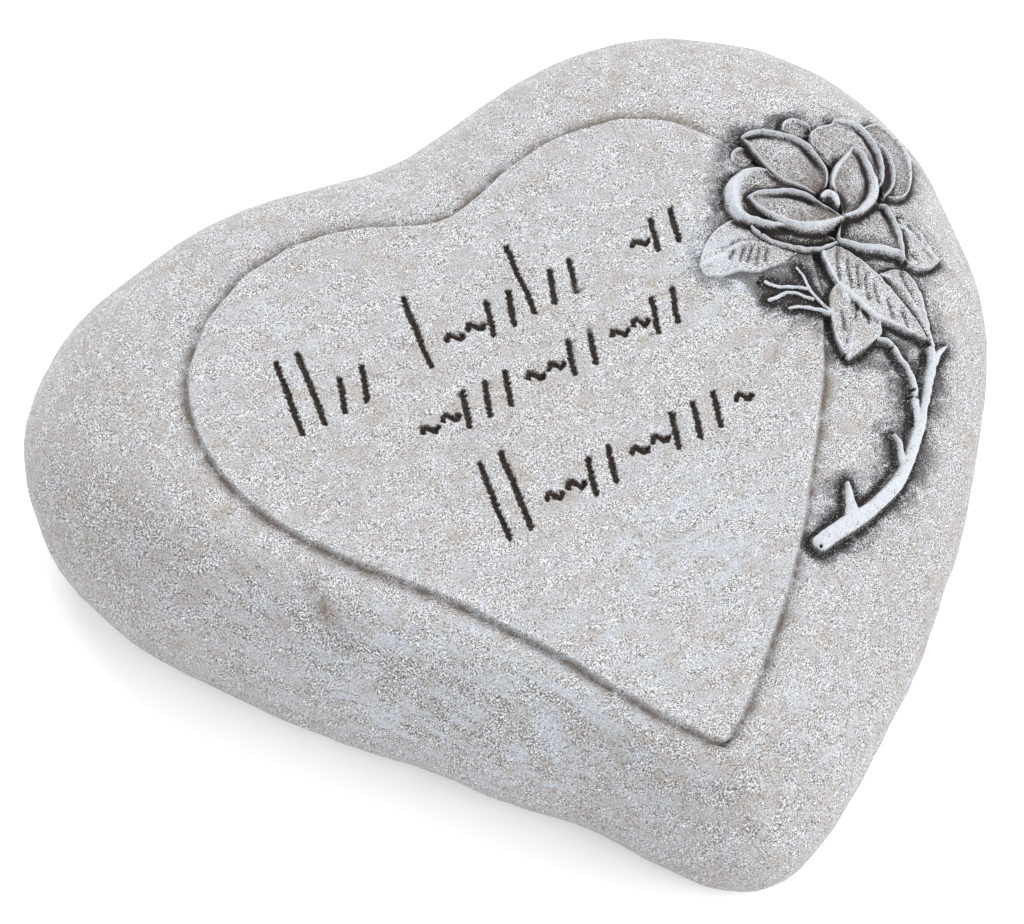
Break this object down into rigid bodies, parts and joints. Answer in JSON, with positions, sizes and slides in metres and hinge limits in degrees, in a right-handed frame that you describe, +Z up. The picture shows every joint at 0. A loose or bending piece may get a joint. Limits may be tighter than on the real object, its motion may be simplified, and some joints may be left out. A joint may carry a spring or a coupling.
{
  "type": "grave heart ornament",
  "caption": "Rounded cast stone heart that lies on a grave, with a raised heart panel, rows of shallow strokes and a rose spray in relief.",
  "frame": {"origin": "middle of the underside, on the ground", "axes": "+X across the lobes, +Y from the tip to the notch, +Z up"},
  "size_m": [0.1925, 0.1764, 0.0502],
  "materials": {
    "cast_stone": "matt, sandy, with dark patina in the carving"
  },
  "bodies": {
    "root": {"heart_stone": "cast_stone"}
  },
  "joints": []
}
